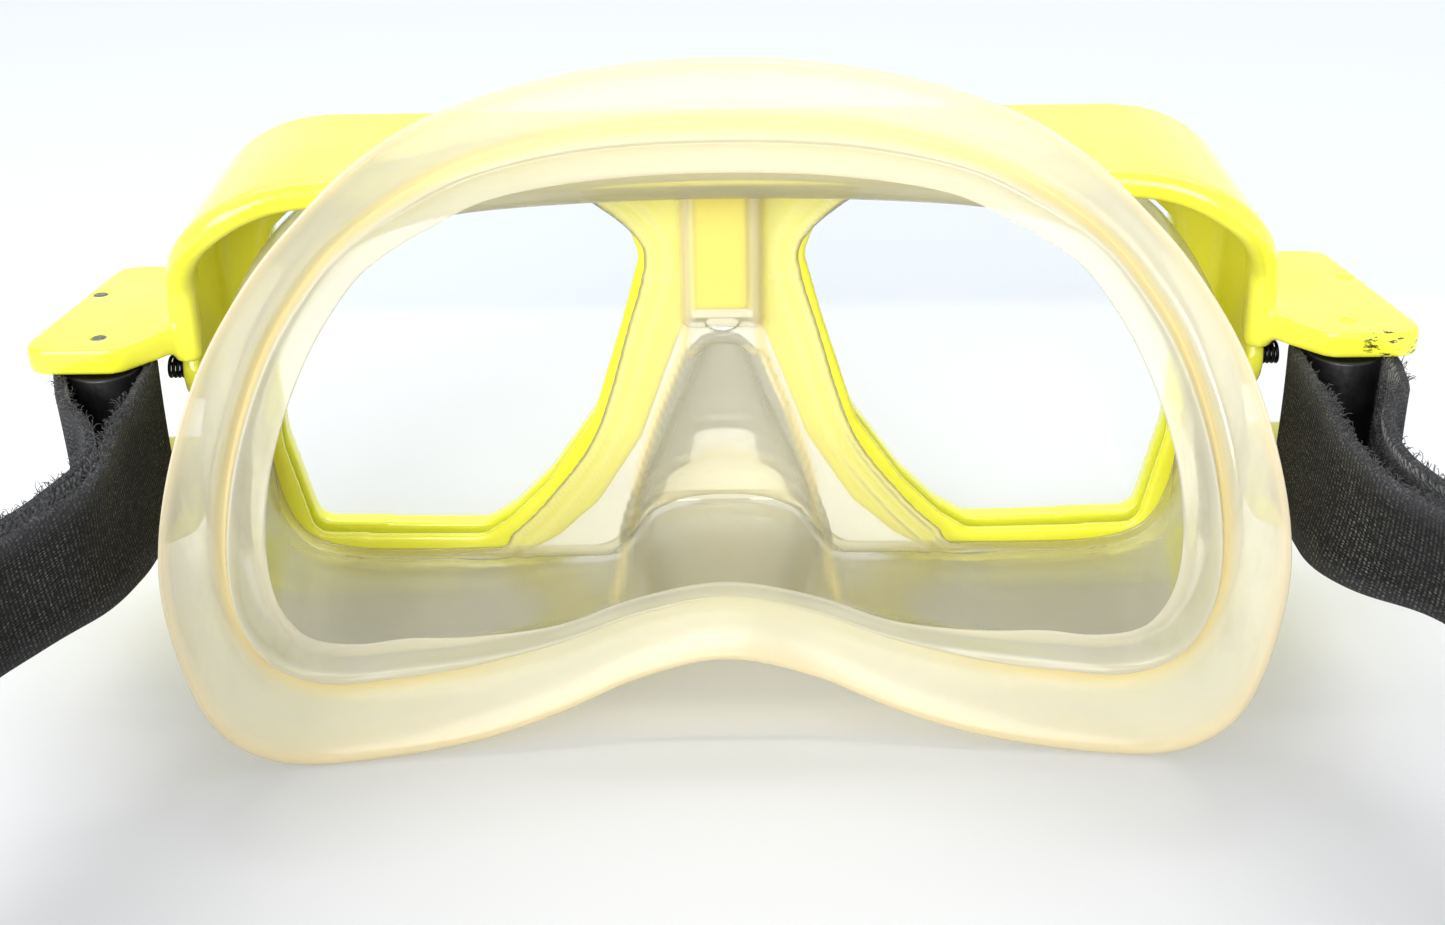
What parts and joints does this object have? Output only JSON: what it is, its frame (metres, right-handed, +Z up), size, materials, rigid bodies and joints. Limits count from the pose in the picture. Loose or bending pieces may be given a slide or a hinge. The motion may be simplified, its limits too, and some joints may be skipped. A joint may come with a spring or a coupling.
{
  "type": "diving mask",
  "caption": "Face mask for diving: rigid frame over twin lenses, soft double-lipped sealing skirt with a nose pocket, and a hook-and-loop head strap with a padded back band.",
  "frame": {"origin": "middle of the whole mask and strap in X and Y, on the level of the lowest frame and back-band edge", "axes": "+X towards the right-hand ear plates seen from behind, +Y forward through the lenses, +Z up towards the forehead"},
  "size_m": [0.2156, 0.2149, 0.0975],
  "materials": {
    "frame_plastic": "glossy fluorescent yellow moulding",
    "lens_glass": "clear tempered glass",
    "skirt_silicone": "aged translucent cream silicone",
    "pin_steel": "plain steel pin",
    "black_plastic": "smooth black moulding",
    "spring_wire": "blackened wire",
    "strap_webbing": "woven face outside, looped pile inside",
    "hook_tape": "fine plastic hooks",
    "pad_foam": "fabric-faced foam"
  },
  "bodies": {
    "mask": {"frame": "frame_plastic", "front_bezel": "frame_plastic", "bezel_clip_left": "frame_plastic", "bezel_clip_right": "frame_plastic", "lens_left": "lens_glass", "lens_right": "lens_glass", "skirt": "skirt_silicone", "roller_pin_left": "pin_steel", "roller_pin_right": "pin_steel", "lever_pin_left": "pin_steel", "lever_pin_right": "pin_steel", "lever_spring_left": "spring_wire", "lever_spring_right": "spring_wire", "strap_webbing_left": "strap_webbing", "strap_webbing_right": "strap_webbing", "hook_patch_left": "hook_tape", "hook_patch_right": "hook_tape", "strap_pad": "pad_foam"},
    "roller_left": {"strap_roller_left": "black_plastic"},
    "lever_left": {"strap_lever_left": "black_plastic"},
    "roller_right": {"strap_roller_right": "black_plastic"},
    "lever_right": {"strap_lever_right": "black_plastic"}
  },
  "joints": [
    {"name": "roller_spin_left", "type": "hinge", "parent": "mask", "child": "roller_left", "pos_m": [-0.0902, 0.0657, 0.039], "axis": [0, 0, 1], "continuous": true},
    {"name": "roller_spin_right", "type": "hinge", "parent": "mask", "child": "roller_right", "pos_m": [0.0902, 0.0657, 0.039], "axis": [0, 0, 1], "continuous": true},
    {"name": "lever_tilt_left", "type": "hinge", "parent": "mask", "child": "lever_left", "pos_m": [-0.0946, 0.0818, 0.039], "axis": [0, 0, 1], "range_deg": [0, 14], "stiffness_Nm_per_rad": 0.02, "springref_deg": -20.05},
    {"name": "lever_tilt_right", "type": "hinge", "parent": "mask", "child": "lever_right", "pos_m": [0.0946, 0.0818, 0.039], "axis": [0, 0, -1], "range_deg": [0, 14], "stiffness_Nm_per_rad": 0.02, "springref_deg": -20.05}
  ]
}
